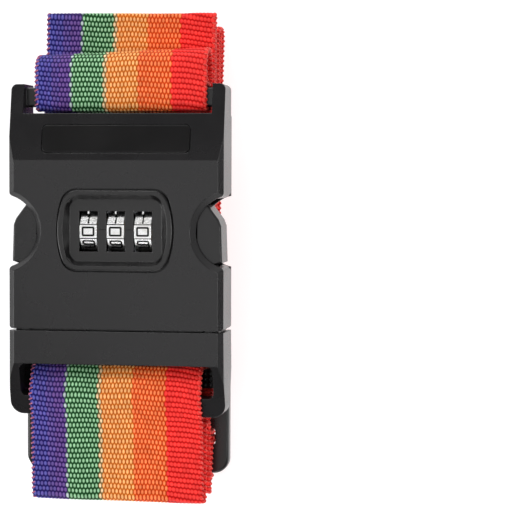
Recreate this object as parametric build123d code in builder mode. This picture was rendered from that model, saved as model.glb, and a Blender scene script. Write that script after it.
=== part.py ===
"""Luggage strap: a folded webbing belt with a side-release buckle and a three-dial lock.

Millimetres. The folded strap lies on its back: X across the webbing, +Y towards the
female end, +Z up through the front face of the buckle. The origin is at the centre of
the underside of the folded pack.
"""

import os

from build123d import *

os.makedirs("parts", exist_ok=True)

# ---------------------------------------------------------------- driving dimensions

# Webbing
webbing_width = 50.0
webbing_thickness = 1.15
layer_pitch = 1.2
half_webbing = webbing_width / 2

# Folded pack under the buckle
pack_bottom_y = -66.0
pack_top_y = 65.2
pack_height = 7 * layer_pitch
upper_stack_low_y = -27.0
upper_stack_top_y = 68.5
upper_stack_z = pack_height + 5 * layer_pitch + 0.1

# Buckle, both halves
face_z = 31.0
back_z = 16.2
half_width = 30.3
wall = 1.8
rear_cover_thickness = 1.6
inner_back_z = back_z + rear_cover_thickness
inner_front_z = face_z - wall
edge_bevel = 1.5

# Female half
mouth_y = -20.2
lip_y = 39.6
crease_y = 26.6
ear_top_y = 47.8
ear_inner_x = 26.7
slope = 0.18
bar_low_y = 41.5
bar_high_y = 47.0
bar_back_z = 20.4
bar_front_z = 24.9
bar_corner = 0.7
bite_corner = 1.3
mouth_corner = 0.8
top_hollow_low_y = 22.0
top_hollow_high_y = 37.6
top_hollow_half_x = 20.0
top_hollow_front_z = 26.4
label_y = 6.05
label_half_x = 20.85
label_half_y = 3.95
label_seat_depth = 0.6
label_thickness = 0.8
label_clearance = 0.15
edge_drop = 1.2

# Side bites and latch buttons
bite_x = 32.7
bite_y = 6.9
bite_radius = 10.2
button_top_z = 29.0
button_back_z = 19.4
button_chamfer = 0.4
channel_inner_x = 17.9
flank_inner_x = 28.5

# Lock
dial_y = 6.9
dial_z = 24.2
dial_pitch = 7.7
dial_width = 5.0
dial_facets = 10
rim_chamfer = 0.2
dial_radius = 6.3
sleeve_radius = 3.35
collar_radius = 4.4
collar_width = 1.0
shaft_radius = 1.5
running_gap = 0.05
gate_depth = 1.95
pocket_half = 15.4
pocket_top_y = 19.0
bezel_centre_y = 7.2
bezel_half_x = 16.6
bezel_half_y = 11.45
bezel_bow = 2.6
bezel_corner = 4.6
bezel_rise = 0.6
bezel_seat_depth = 0.9
bezel_gap = 0.32
floor_half_x = 13.7
floor_half_y = 9.1
cradle_width = 2.2
cradle_low_z = 21.2
dial_relief_depth = 0.5
shaft_half_length = 15.2
floor_z = 29.8
floor_thickness = 0.9
window_width = 5.3
window_height = 11.2
spring_y = 14.4
spring_gauge = 0.3
reset_x = -12.9
reset_y = 16.6
reset_radius = 1.2

# Plug
plug_top_y = -20.8
plug_bottom_y = -44.5
step_inset = 1.5
step_length = 0.5
step_depth = 2.6
plug_back_z = 17.0
slot_top_y = -30.0
slot_bottom_y = -39.3
slot_half = 27.4
knuckle_x = 25.9
knuckle_y = -22.9
knuckle_radius = 1.7
plug_low_face_z = 26.8
plug_low_back_z = 21.0
comb_back_z = 20.2
comb_thickness = 1.9
comb_half_x = 12.6
comb_shoulder_y = -1.6
comb_tip_y = 13.6
comb_head_length = 1.9
comb_seat_length = 6.0
comb_seat_depth = 4.9

# Adjuster
adjuster_half_x = 29.4
adjuster_top_y = -29.9
adjuster_bottom_y = -61.9
adjuster_back_z = 12.0
adjuster_thickness = 3.4
adjuster_slot_offset = 5.55
adjuster_slot_width = 5.3
upper_slot_half = 26.7
lower_slot_half = 25.6
lower_slot_corner = 1.2
adjuster_tooth_y = -34.3
tooth_pitch = 1.5
tooth_height = 0.5
tooth_columns = 33
tooth_rows = 4
tooth_base_radius = 0.6
tooth_tip_radius = 0.3
adjuster_corner = 4.2

screw_places = [(-16.65, -16.0), (16.65, -16.0), (-24.0, 30.0), (24.0, 30.0)]
dial_centres = [-dial_pitch, 0, dial_pitch]
dial_plane = Plane(origin=(0, dial_y, dial_z), x_dir=(0, 1, 0), z_dir=(1, 0, 0))


def save(builder, name):
    """Label a finished piece and write it to its own file."""
    builder.part.label = name
    export_step(builder.part, f"parts/{name}.step")


def bite_circles(radius):
    """The two round side bites, drawn in the current sketch."""
    with Locations((-bite_x, bite_y), (bite_x, bite_y)):
        Circle(radius, mode=Mode.SUBTRACT)


def bite_vertices(sketch):
    """The corners where the side bites meet the long edges of an outline."""
    return [
        v
        for v in sketch.vertices()
        if abs(v.X) > half_width - 0.01 and abs(v.Y - bite_y) < bite_radius
    ]


def bezel_outline(half_x, half_y, bow, corner, z):
    """Rounded outline with straight ends and outward bowed sides, at height z."""
    with BuildSketch(Plane((0, bezel_centre_y, z))) as outline:
        with BuildLine():
            top = Line((-(half_x - bow), half_y), (half_x - bow, half_y))
            right = ThreePointArc(top @ 1, (half_x, 0), (half_x - bow, -half_y))
            bottom = Line(right @ 1, (-(half_x - bow), -half_y))
            ThreePointArc(bottom @ 1, (-half_x, 0), top @ 0)
        make_face()
        fillet(outline.vertices(), corner)
    return outline.sketch


def ribbon(points, radii, width=webbing_width):
    """A folded strip of webbing: a bent line in the YZ plane, given thickness and width."""
    with BuildPart() as strip:
        with BuildSketch(Plane.YZ.offset(-width / 2)):
            with BuildLine():
                path = FilletPolyline(*points, radius=radii)
                offset(path, amount=webbing_thickness / 2, side=Side.BOTH)
            make_face()
        extrude(amount=width)
    return strip


# ---------------------------------------------------------------- female half: front cover

slope_face = Plane(origin=(0, crease_y, face_z), x_dir=(1, 0, 0), z_dir=(0, slope, 1))

with BuildPart() as front_cover:
    with BuildSketch(Plane.XY.offset(inner_back_z)) as cover_outline:
        with Locations((0, (mouth_y + ear_top_y) / 2)):
            Rectangle(2 * half_width, ear_top_y - mouth_y)
        fillet(cover_outline.vertices().group_by(Axis.Y)[0], mouth_corner)
        fillet(cover_outline.vertices().group_by(Axis.Y)[-1], 1.6)
        with Locations((0, (lip_y + ear_top_y) / 2 + 1)):
            Rectangle(2 * ear_inner_x, ear_top_y - lip_y + 2, mode=Mode.SUBTRACT)
        bite_circles(bite_radius)
        fillet(bite_vertices(cover_outline), bite_corner)
    extrude(amount=face_z - inner_back_z)
    # The top third slopes down towards the webbing.
    with BuildSketch(Plane.YZ.offset(-half_width - 1)):
        with BuildLine():
            Polyline(
                (crease_y, face_z),
                (ear_top_y + 2, face_z - slope * (ear_top_y + 2 - crease_y)),
                (ear_top_y + 2, face_z + 1),
                (crease_y, face_z + 1),
                close=True,
            )
        make_face()
    extrude(amount=2 * half_width + 2, mode=Mode.SUBTRACT)
    # Long front edges are bevelled, and so is the rim of each bite.
    for side in (-1, 1):
        with BuildSketch(Plane.XZ.offset(-ear_top_y - 1)):
            with BuildLine():
                Polyline(
                    (side * (half_width - edge_bevel), face_z + 0.01),
                    (side * (half_width + 0.01), face_z + 0.01),
                    (side * (half_width + 0.01), face_z - edge_drop),
                    close=True,
                )
            make_face()
        extrude(amount=ear_top_y - mouth_y + 2, mode=Mode.SUBTRACT)
        with Locations((side * bite_x, bite_y, face_z - edge_bevel / 2)):
            Cone(bite_radius, bite_radius + edge_bevel, edge_bevel, mode=Mode.SUBTRACT)
    # Side channels for the latch arms, and the pocket for the lock and the comb.
    channel_width = flank_inner_x - channel_inner_x
    channel_length = pocket_top_y - mouth_y
    with BuildSketch(Plane.XY.offset(inner_back_z)):
        for side in (-1, 1):
            channel_x = side * (channel_inner_x + flank_inner_x) / 2
            with Locations((channel_x, mouth_y + channel_length / 2)):
                Rectangle(channel_width, channel_length)
        with Locations((0, mouth_y + channel_length / 2)):
            Rectangle(2 * pocket_half, channel_length)
    extrude(amount=inner_front_z - inner_back_z, mode=Mode.SUBTRACT)
    # Hollow behind the sloped top.
    with BuildSketch(Plane.XY.offset(inner_back_z)):
        with Locations((0, (top_hollow_low_y + top_hollow_high_y) / 2)):
            Rectangle(2 * top_hollow_half_x, top_hollow_high_y - top_hollow_low_y)
    extrude(amount=top_hollow_front_z - inner_back_z, mode=Mode.SUBTRACT)
    # Bar that the webbing is sewn round.
    with BuildSketch(Plane.YZ.offset(-ear_inner_x - 0.5)):
        with Locations(((bar_low_y + bar_high_y) / 2, (bar_back_z + bar_front_z) / 2)):
            RectangleRounded(bar_high_y - bar_low_y, bar_front_z - bar_back_z, bar_corner)
    extrude(amount=2 * ear_inner_x + 1)
    # Cradles that hold the ends of the dial shaft, open towards the back.
    for side in (-1, 1):
        with Locations((side * (pocket_half - 1.0), dial_y, (inner_front_z + cradle_low_z) / 2)):
            Box(cradle_width, 6.4, inner_front_z - cradle_low_z)
        with Locations((side * (pocket_half - 1.0), dial_y, dial_z)):
            Cylinder(shaft_radius, 3.0, rotation=(0, 90, 0), mode=Mode.SUBTRACT)
        with Locations((side * (pocket_half - 1.0), dial_y, dial_z - 3)):
            Box(3.0, 2 * shaft_radius, 6.0, mode=Mode.SUBTRACT)
    # Opening and shallow seat for the bezel.
    seat_z = face_z - bezel_seat_depth
    seat = bezel_outline(bezel_half_x, bezel_half_y, bezel_bow, bezel_corner, seat_z)
    extrude(seat, amount=2, mode=Mode.SUBTRACT)
    with BuildSketch(Plane.XY.offset(inner_front_z - 1)):
        with Locations((0, bezel_centre_y)):
            RectangleRounded(2 * floor_half_x + 0.4, 2 * floor_half_y + 0.4, 3.2)
    extrude(amount=4, mode=Mode.SUBTRACT)
    # Seat for the label plate, in the sloped top.
    with BuildSketch(slope_face):
        with Locations((0, label_y)):
            RectangleRounded(
                2 * (label_half_x + label_clearance), 2 * (label_half_y + label_clearance), 1.6
            )
    extrude(amount=-label_seat_depth, mode=Mode.SUBTRACT)
    # Blind pilot holes for the four rear cover screws.
    with Locations(*[(x, y, inner_back_z) for x, y in screw_places]):
        Cylinder(0.85, 6.0, align=(Align.CENTER, Align.CENTER, Align.MIN), mode=Mode.SUBTRACT)

save(front_cover, "front_cover")

# ---------------------------------------------------------------- female half: other shells

with BuildPart() as rear_cover:
    with BuildSketch(Plane.XY.offset(back_z)):
        with Locations((0, (mouth_y + lip_y) / 2)):
            RectangleRounded(2 * half_width, lip_y - mouth_y, mouth_corner)
        bite_circles(bite_radius)
    extrude(amount=rear_cover_thickness)
    chamfer(rear_cover.faces().sort_by(Axis.Z)[0].outer_wire().edges(), 0.7)
    # Relief that the dials turn in.
    with Locations((0, dial_y, inner_back_z)):
        Box(2 * dial_pitch + dial_width + 1.0, 5.0, 2 * dial_relief_depth, mode=Mode.SUBTRACT)
    with Locations((reset_x, reset_y, back_z)):
        Cylinder(reset_radius + 0.15, 8, mode=Mode.SUBTRACT)
    with Locations(*[(x, y, back_z) for x, y in screw_places]):
        CounterSinkHole(1.1, 1.9, depth=8)

save(rear_cover, "rear_cover")

with BuildPart() as cover_screws:
    for x, y in screw_places:
        with Locations((x, y, back_z + 0.15)):
            Cone(1.75, 0.85, 0.9, align=(Align.CENTER, Align.CENTER, Align.MIN))
            Cylinder(0.84, 6.5, align=(Align.CENTER, Align.CENTER, Align.MIN))
            Box(2.4, 0.45, 0.8, mode=Mode.SUBTRACT)
            Box(0.45, 2.4, 0.8, mode=Mode.SUBTRACT)

save(cover_screws, "cover_screws")

with BuildPart() as label_plate:
    with BuildSketch(slope_face.offset(-label_seat_depth)):
        with Locations((0, label_y)):
            RectangleRounded(2 * label_half_x, 2 * label_half_y, 1.45)
    extrude(amount=label_thickness)
    chamfer(label_plate.faces().sort_by(Axis.Z)[-1].edges(), 0.2)

save(label_plate, "label_plate")

with BuildPart() as dial_bezel:
    ring_z = face_z + bezel_rise
    flange = bezel_outline(
        bezel_half_x - bezel_gap, bezel_half_y - bezel_gap, bezel_bow, bezel_corner, seat_z
    )
    extrude(flange, amount=ring_z - seat_z)
    fillet(dial_bezel.faces().sort_by(Axis.Z)[-1].edges(), 0.4)
    with BuildSketch(Plane((0, bezel_centre_y, floor_z - floor_thickness))):
        RectangleRounded(2 * floor_half_x, 2 * floor_half_y, 3.0)
    extrude(amount=face_z - floor_z)
    # The dished opening runs from the ring down to the floor.
    with BuildSketch(Plane((0, bezel_centre_y, floor_z))):
        RectangleRounded(2 * 13.0, 2 * 8.6, 2.6)
    mouth = bezel_outline(14.8, 9.85, 2.2, 4.0, ring_z + 0.01)
    add(mouth)
    loft(mode=Mode.SUBTRACT)
    with BuildSketch(Plane((0, bezel_centre_y, floor_z - 3))):
        with Locations(*[(x, dial_y - bezel_centre_y) for x in dial_centres]):
            Rectangle(window_width, window_height)
    extrude(amount=6, mode=Mode.SUBTRACT)

save(dial_bezel, "dial_bezel")

# ---------------------------------------------------------------- lock

with BuildPart() as dial_shaft:
    with BuildSketch(dial_plane.offset(-shaft_half_length)):
        Circle(shaft_radius)
    extrude(amount=2 * shaft_half_length)
    chamfer(dial_shaft.edges().filter_by(GeomType.CIRCLE), 0.3)

save(dial_shaft, "dial_shaft")

for number, x in enumerate(dial_centres, start=1):
    with BuildPart() as wheel:
        with BuildSketch(dial_plane.offset(x - dial_width / 2)):
            RegularPolygon(dial_radius, dial_facets, rotation=180 / dial_facets + 90)
            Circle(sleeve_radius, mode=Mode.SUBTRACT)
        extrude(amount=dial_width)
        rims = wheel.faces().filter_by(Axis.X)
        chamfer(rims.sort_by(Axis.X)[0].outer_wire().edges(), rim_chamfer)
        chamfer(wheel.faces().sort_by(Axis.X)[-1].outer_wire().edges(), rim_chamfer)
    save(wheel, f"number_wheel_{number}")

    with BuildPart() as sleeve:
        with BuildSketch(dial_plane.offset(x - dial_width / 2)):
            Circle(sleeve_radius)
            Circle(shaft_radius + running_gap, mode=Mode.SUBTRACT)
        extrude(amount=dial_width + 0.1)
        # The collar has a flat, the gate, which faces the comb at digit 0.
        with BuildSketch(dial_plane.offset(x + dial_width / 2 + 0.1)):
            Circle(collar_radius)
            Circle(shaft_radius + running_gap, mode=Mode.SUBTRACT)
            with Locations((0, -gate_depth - collar_radius / 2)):
                Rectangle(2 * collar_radius, collar_radius, mode=Mode.SUBTRACT)
        extrude(amount=collar_width)
    save(sleeve, f"cam_sleeve_{number}")

with BuildPart() as detent_spring:
    with BuildSketch(Plane((0, 0, dial_z - 4.2))):
        with Locations((0, spring_y)):
            Rectangle(2 * pocket_half - 0.2, spring_gauge)
    extrude(amount=7.6)
    for x in dial_centres:
        with BuildSketch(Plane.YZ.offset(x - 1.5)):
            with BuildLine():
                Polyline(
                    (spring_y, dial_z - 4.2),
                    (spring_y - 0.1, dial_z - 4.2),
                    (dial_y + dial_radius + 0.12, dial_z - 0.6),
                    (dial_y + dial_radius + 0.12, dial_z + 0.6),
                    (spring_y - 0.7, dial_z + 1.8),
                    (spring_y - 0.5, dial_z + 1.8),
                    (dial_y + dial_radius + 0.4, dial_z + 0.6),
                    (dial_y + dial_radius + 0.4, dial_z - 0.6),
                    (spring_y + 0.05, dial_z - 4.0),
                    close=True,
                )
            make_face()
        extrude(amount=3.0)

save(detent_spring, "detent_spring")

with BuildPart() as shaft_spring:
    coil = Helix(
        pitch=0.9,
        height=2.4,
        radius=shaft_radius + 0.45,
        center=(-pocket_half + 2.55, dial_y, dial_z),
        direction=(1, 0, 0),
    )
    with BuildSketch(Plane(origin=coil @ 0, z_dir=coil % 0)):
        Circle(0.2)
    sweep(path=coil)

save(shaft_spring, "shaft_spring")

with BuildPart() as reset_button:
    with Locations((reset_x, reset_y, back_z + 0.3)):
        Cylinder(reset_radius, 3.2, align=(Align.CENTER, Align.CENTER, Align.MIN))
    with Locations((reset_x, reset_y, inner_back_z + 0.1)):
        Cylinder(reset_radius + 0.6, 0.8, align=(Align.CENTER, Align.CENTER, Align.MIN))
    with Locations((reset_x, reset_y, back_z + 0.3)):
        Cylinder(0.4, 0.6, mode=Mode.SUBTRACT)

save(reset_button, "reset_button")

with BuildPart() as reset_spring:
    reset_coil = Helix(
        pitch=1.4,
        height=9.8,
        radius=reset_radius + 0.3,
        center=(reset_x, reset_y, inner_back_z + 1.15),
    )
    with BuildSketch(Plane(origin=reset_coil @ 0, z_dir=reset_coil % 0)):
        Circle(0.18)
    sweep(path=reset_coil)

save(reset_spring, "reset_spring")

# ---------------------------------------------------------------- plug

with BuildPart() as plug_base:
    with BuildSketch(Plane.XY.offset(plug_back_z)) as base_outline:
        with BuildLine():
            Polyline(
                (-half_width, plug_top_y),
                (half_width, plug_top_y),
                (half_width + 0.3, plug_bottom_y),
                (-half_width - 0.3, plug_bottom_y),
                close=True,
            )
        make_face()
        fillet(base_outline.vertices().group_by(Axis.Y)[0], 3.6)
    extrude(amount=face_z - plug_back_z)
    # Webbing slot with rounded ends.
    with BuildSketch(Plane.XY.offset(plug_back_z - 1)):
        with Locations((0, (slot_top_y + slot_bottom_y) / 2)):
            RectangleRounded(2 * slot_half, slot_top_y - slot_bottom_y, 1.6)
    extrude(amount=face_z - plug_back_z + 2, mode=Mode.SUBTRACT)
    # The lower bar is thinner than the rest: both faces slope towards the lower edge.
    with BuildSketch(Plane.YZ.offset(-half_width - 1)):
        with BuildLine():
            Polyline(
                (slot_top_y, face_z),
                (plug_bottom_y - 1, plug_low_face_z),
                (plug_bottom_y - 1, face_z + 1),
                (slot_top_y, face_z + 1),
                close=True,
            )
        make_face()
        with BuildLine():
            Polyline(
                (slot_top_y - 1, plug_back_z - 1),
                (slot_top_y - 1, plug_back_z),
                (plug_bottom_y - 1, plug_low_back_z),
                (plug_bottom_y - 1, plug_back_z - 1),
                close=True,
            )
        make_face()
    extrude(amount=2 * half_width + 2, mode=Mode.SUBTRACT)
    # Bevel along both long edges.
    for side in (-1, 1):
        with BuildSketch(Plane.XZ.offset(-plug_top_y - 1)):
            with BuildLine():
                Polyline(
                    (side * (half_width - edge_bevel), face_z + 0.01),
                    (side * (half_width + 0.6), face_z + 0.01),
                    (side * (half_width + 0.6), face_z - 3.6),
                    (side * half_width, face_z - 1.2),
                    close=True,
                )
            make_face()
        extrude(amount=-plug_bottom_y + plug_top_y + 2, mode=Mode.SUBTRACT)
    # A step behind the front edge closes the joint with the housing.
    with Locations((0, plug_top_y, plug_back_z)):
        Box(
            2 * (half_width - step_inset),
            2 * step_length,
            face_z - step_depth - plug_back_z,
            align=(Align.CENTER, Align.CENTER, Align.MIN),
        )
    # Sockets for the roots of the latch arms.
    for side in (-1, 1):
        with BuildSketch(Plane.XY.offset(button_back_z - 0.3)):
            with Locations((side * knuckle_x, knuckle_y)):
                Circle(knuckle_radius + 0.08)
            with Locations((side * knuckle_x, knuckle_y + 1.5)):
                Rectangle(3.3, 3.0)
        extrude(amount=button_top_z - button_back_z + 0.6, mode=Mode.SUBTRACT)
    # Seat for the comb plate.
    seat_middle_y = plug_top_y + comb_seat_length / 2 - comb_seat_depth
    with Locations((0, seat_middle_y, comb_back_z + comb_thickness / 2)):
        Box(2 * comb_half_x, comb_seat_length, comb_thickness, mode=Mode.SUBTRACT)

save(plug_base, "plug_base")

with BuildPart() as comb_plate:
    with BuildSketch(Plane.XY.offset(comb_back_z)):
        with BuildLine():
            Polyline(
                (-comb_half_x, plug_top_y - comb_seat_depth),
                (comb_half_x, plug_top_y - comb_seat_depth),
                (comb_half_x, comb_shoulder_y - 2.5),
                (comb_half_x - 2.5, comb_shoulder_y),
                (-comb_half_x + 2.5, comb_shoulder_y),
                (-comb_half_x, comb_shoulder_y - 2.5),
                close=True,
            )
        make_face()
        # One tooth passes beside each sleeve's collar, with its head beyond the collar.
        for x in dial_centres:
            neck_x = x + dial_width / 2 + 1.25
            neck_length = comb_tip_y - comb_shoulder_y + 3
            with Locations((neck_x + 0.45, comb_tip_y - neck_length / 2)):
                Rectangle(0.9, neck_length)
            with Locations((neck_x - 0.05, comb_tip_y - comb_head_length / 2)):
                Rectangle(1.9, comb_head_length)
    extrude(amount=comb_thickness)
    with Locations((0, -13.0, comb_back_z)):
        with GridLocations(13.0, 0, 2, 1):
            Cylinder(2.0, 6.0, mode=Mode.SUBTRACT)

save(comb_plate, "comb_plate")

for side, name in ((-1, "left"), (1, "right")):
    with BuildPart() as arm:
        with BuildSketch(Plane.XY.offset(button_back_z)):
            with BuildLine():
                Polyline(
                    (side * 24.6, knuckle_y),
                    (side * 27.2, knuckle_y),
                    (side * 27.2, -2.3),
                    (side * 29.7, -1.5),
                    (side * 29.4, 8.6),
                    (side * 28.7, 10.4),
                    (side * 25.6, 14.5),
                    (side * 22.4, 14.5),
                    (side * 22.4, 0.0),
                    (side * 24.6, -3.0),
                    close=True,
                )
            make_face()
        extrude(amount=button_top_z - button_back_z)
        with Locations((side * knuckle_x, knuckle_y, (button_top_z + button_back_z) / 2)):
            Cylinder(knuckle_radius, button_top_z - button_back_z)
        chamfer(arm.faces().sort_by(Axis.Z)[-1].outer_wire().edges(), button_chamfer)
    save(arm, f"latch_arm_{name}")

# ---------------------------------------------------------------- adjuster

with BuildPart() as adjuster:
    adjuster_middle_y = (adjuster_top_y + adjuster_bottom_y) / 2
    with BuildSketch(Plane.XY.offset(adjuster_back_z)):
        with Locations((0, adjuster_middle_y)):
            RectangleRounded(
                2 * adjuster_half_x, adjuster_top_y - adjuster_bottom_y, adjuster_corner
            )
            with Locations((0, adjuster_slot_offset)):
                SlotOverall(2 * upper_slot_half, adjuster_slot_width, mode=Mode.SUBTRACT)
            with Locations((0, -adjuster_slot_offset)):
                RectangleRounded(
                    2 * lower_slot_half, adjuster_slot_width, lower_slot_corner, mode=Mode.SUBTRACT
                )
    extrude(amount=adjuster_thickness)
    fillet(adjuster.faces().sort_by(Axis.Z)[-1].outer_wire().edges(), 0.8)
    # Grip teeth across the upper bar.
    with Locations((0, adjuster_tooth_y, adjuster_back_z + adjuster_thickness)):
        with GridLocations(tooth_pitch, tooth_pitch, tooth_columns, tooth_rows):
            Cone(
                tooth_base_radius,
                tooth_tip_radius,
                tooth_height,
                align=(Align.CENTER, Align.CENTER, Align.MIN),
            )

save(adjuster, "adjuster")

# ---------------------------------------------------------------- webbing, as plain closed solids

with BuildPart() as webbing_pack:
    with BuildSketch(Plane.YZ.offset(-half_webbing)) as pack_profile:
        with BuildLine():
            Polyline(
                (pack_bottom_y, 0),
                (pack_top_y, 0),
                (pack_top_y, 9.8),
                (upper_stack_top_y, 9.8),
                (upper_stack_top_y, upper_stack_z),
                (upper_stack_low_y, upper_stack_z),
                (upper_stack_low_y, pack_height),
                (pack_bottom_y, pack_height),
                close=True,
            )
        make_face()
        fillet(pack_profile.vertices().group_by(Axis.X)[0], 3.5)
        fillet(pack_profile.vertices().group_by(Axis.X)[-1], 2.0)
    extrude(amount=webbing_width)
    fillet(webbing_pack.edges().filter_by(Axis.X).group_by(Axis.Z)[0].sort_by(Axis.Y)[-1], 4.0)

save(webbing_pack, "webbing_pack")

# Tail, turn round the bar, front run, fold, and return run under the buckle.
webbing_female_end = ribbon(
    [(50.4, 24.05), (47.95, 24.05), (47.8, 19.6), (40.75, 19.6), (40.75, 25.7)]
    + [(56.4, 25.35), (56.4, 15.3), (-26.0, 15.3)],
    [0.9, 1.9, 1.9, 1.9, 4.9, 4.9],
)
save(webbing_female_end, "webbing_female_end")

# Turn past the adjuster, up through the plug's slot, over its lower bar, and two folds.
webbing_front_run = ribbon(
    [(-32.0, 10.75), (-28.95, 10.75), (-28.95, 16.2), (-31.1, 16.2), (-31.1, 26.4)]
    + [(-38.9, 29.35), (-45.6, 27.9), (-67.9, 26.9), (-67.9, 23.6), (-46.4, 23.6)]
    + [(-46.4, 20.2), (-66.0, 20.2)],
    [1.5, 1.0, 1.0, 2.5, 4.0, 8.0, 1.6, 1.6, 1.6, 1.6],
)
save(webbing_front_run, "webbing_front_run")

# Sewn end, wrapped round the adjuster's middle bar.
webbing_adjuster_end = ribbon(
    [(-33.5, 10.75), (-38.9, 10.75), (-42.1, 16.15), (-49.7, 16.15), (-49.7, 9.4)]
    + [(-36.0, 9.4)],
    [1.5, 1.5, 1.5, 1.5],
)
save(webbing_adjuster_end, "webbing_adjuster_end")

# Run of the strap that turns round the adjuster's lower bar.
webbing_adjuster_run = ribbon(
    [(-62.4, 16.4), (-51.6, 16.4), (-51.6, 10.9), (-62.4, 10.9)],
    [1.5, 1.5],
)
save(webbing_adjuster_run, "webbing_adjuster_run")
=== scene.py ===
"""Looks for the luggage strap: woven webbing, moulded plastic, plated dials and their digits.

Lengths are millimetres in the row frame, except inside the materials and for the floor, the
lights and the camera, which are in metres.
"""

import math

import bmesh
import bpy
import numpy as np
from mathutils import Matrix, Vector


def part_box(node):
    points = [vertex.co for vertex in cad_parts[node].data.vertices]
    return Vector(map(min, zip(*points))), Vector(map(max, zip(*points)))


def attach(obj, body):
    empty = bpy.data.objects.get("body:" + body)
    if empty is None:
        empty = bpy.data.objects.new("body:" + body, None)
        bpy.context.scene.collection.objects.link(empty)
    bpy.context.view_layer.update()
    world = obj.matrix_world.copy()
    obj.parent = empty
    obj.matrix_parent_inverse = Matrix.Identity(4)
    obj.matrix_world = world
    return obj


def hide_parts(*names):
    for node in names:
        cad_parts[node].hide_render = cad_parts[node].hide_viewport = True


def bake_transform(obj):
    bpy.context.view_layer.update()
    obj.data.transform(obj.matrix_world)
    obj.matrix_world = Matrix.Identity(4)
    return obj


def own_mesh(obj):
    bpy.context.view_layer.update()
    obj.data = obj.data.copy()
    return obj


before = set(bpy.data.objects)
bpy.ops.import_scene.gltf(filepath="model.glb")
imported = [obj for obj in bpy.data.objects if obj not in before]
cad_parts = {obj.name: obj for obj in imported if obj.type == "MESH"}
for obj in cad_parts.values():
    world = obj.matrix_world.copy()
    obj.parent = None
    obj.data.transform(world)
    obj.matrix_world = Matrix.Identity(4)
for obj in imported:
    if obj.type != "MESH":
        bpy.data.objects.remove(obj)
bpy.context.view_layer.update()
scene = bpy.context.scene
MM = 0.001

# ---------------------------------------------------------------- node materials


class Graph:
    """A small helper that writes a material's node tree as expressions."""

    def __init__(self, name):
        self.material = bpy.data.materials.new(name)
        self.material.use_nodes = True
        self.tree = self.material.node_tree
        self.tree.nodes.clear()
        self.shader = self.tree.nodes.new("ShaderNodeBsdfPrincipled")
        output = self.tree.nodes.new("ShaderNodeOutputMaterial")
        self.tree.links.new(self.shader.outputs[0], output.inputs["Surface"])

    def link(self, source, socket):
        self.tree.links.new(source, socket)

    def feed(self, value, socket):
        """Link a node output to a socket, or set the socket's own value."""
        if isinstance(value, bpy.types.NodeSocket):
            self.link(value, socket)
        else:
            socket.default_value = value

    def math(self, operation, a, b=None, clamp=False):
        node = self.tree.nodes.new("ShaderNodeMath")
        node.operation = operation
        node.use_clamp = clamp
        self.feed(a, node.inputs[0])
        if b is not None:
            self.feed(b, node.inputs[1])
        return node.outputs[0]

    def span(self, value, low, high, out_low=0.0, out_high=1.0, smooth=True):
        node = self.tree.nodes.new("ShaderNodeMapRange")
        node.interpolation_type = "SMOOTHSTEP" if smooth else "LINEAR"
        for socket, number in zip(node.inputs, (value, low, high, out_low, out_high)):
            self.feed(number, socket)
        return node.outputs[0]

    def mix(self, factor, a, b, blend="MIX"):
        node = self.tree.nodes.new("ShaderNodeMix")
        node.data_type = "RGBA"
        node.blend_type = blend
        self.feed(factor, node.inputs["Factor"])
        self.feed(a, node.inputs[6])
        self.feed(b, node.inputs[7])
        return node.outputs[2]

    def ramp(self, factor, stops, interpolation="LINEAR"):
        node = self.tree.nodes.new("ShaderNodeValToRGB")
        band = node.color_ramp
        band.interpolation = interpolation
        while len(band.elements) < len(stops):
            band.elements.new(0.5)
        for element, (position, colour) in zip(band.elements, stops):
            element.position = position
            element.color = (*colour, 1.0)
        self.link(factor, node.inputs[0])
        return node.outputs[0]

    def place(self, scale=(1, 1, 1), rotation=(0, 0, 0)):
        """Object coordinates in metres, scaled and turned."""
        coordinates = self.tree.nodes.new("ShaderNodeTexCoord")
        node = self.tree.nodes.new("ShaderNodeMapping")
        node.inputs["Scale"].default_value = scale
        node.inputs["Rotation"].default_value = rotation
        self.link(coordinates.outputs["Object"], node.inputs["Vector"])
        return node.outputs[0]

    def noise(self, vector, scale, detail=3.0, roughness=0.5):
        node = self.tree.nodes.new("ShaderNodeTexNoise")
        self.link(vector, node.inputs["Vector"])
        node.inputs["Scale"].default_value = scale
        node.inputs["Detail"].default_value = detail
        node.inputs["Roughness"].default_value = roughness
        return node.outputs["Fac"]

    def rounded(self, radius):
        """A normal that rounds edges by a radius in metres."""
        node = self.tree.nodes.new("ShaderNodeBevel")
        node.samples = 6
        node.inputs["Radius"].default_value = radius
        return node.outputs[0]

    def bump(self, height, distance, strength=1.0, normal=None):
        node = self.tree.nodes.new("ShaderNodeBump")
        node.inputs["Strength"].default_value = strength
        node.inputs["Distance"].default_value = distance
        self.link(height, node.inputs["Height"])
        if normal is not None:
            self.link(normal, node.inputs["Normal"])
        return node.outputs[0]

    def set(self, **values):
        for name, value in values.items():
            self.feed(value, self.shader.inputs[name.replace("_", " ")])
        return self.material


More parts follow.
